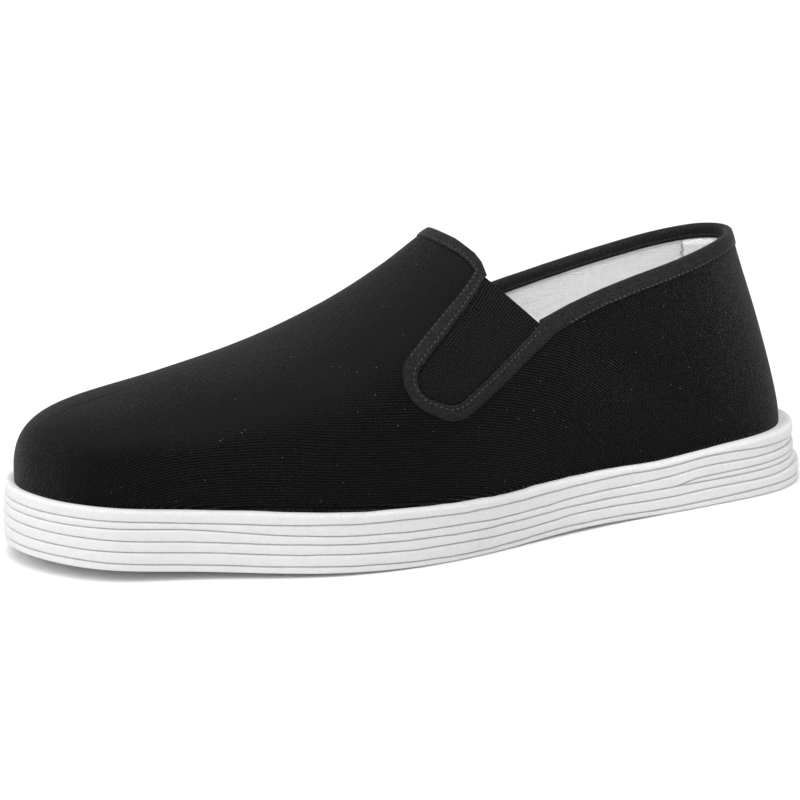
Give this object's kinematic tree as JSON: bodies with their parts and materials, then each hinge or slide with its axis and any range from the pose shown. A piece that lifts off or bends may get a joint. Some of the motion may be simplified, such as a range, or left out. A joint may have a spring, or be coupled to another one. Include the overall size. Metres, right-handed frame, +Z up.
{
  "type": "chinese cloth shoe",
  "caption": "Low slip-on cloth shoe with side elastics, taped collar and a thick sole of stacked cloth plies.",
  "frame": {"origin": "centre of the bounding box in plan, on the floor plane under the sole", "axes": "+Z up; the toe points along -Y; +X is the outer (little toe) side of this left shoe"},
  "size_m": [0.0982, 0.2792, 0.0949],
  "materials": {
    "white_sole_cloth": "matt white cotton over pressed plies",
    "white_lining": "matt white cotton twill",
    "black_twill": "matt black cotton twill",
    "black_tape": "matt black folded tape",
    "black_elastic": "ribbed black elastic"
  },
  "bodies": {
    "root": {"outsole": "white_sole_cloth", "sole_ply_2": "white_sole_cloth", "sole_ply_3": "white_sole_cloth", "heel_lift": "white_sole_cloth", "sole_ply_4": "white_sole_cloth", "sole_ply_5": "white_sole_cloth", "welt_ply": "white_sole_cloth", "insole": "white_lining", "upper": "black_twill", "edge_binding": "black_tape", "throat_binding": "black_tape", "outer_gore": "black_elastic", "inner_gore": "black_elastic"}
  },
  "joints": []
}
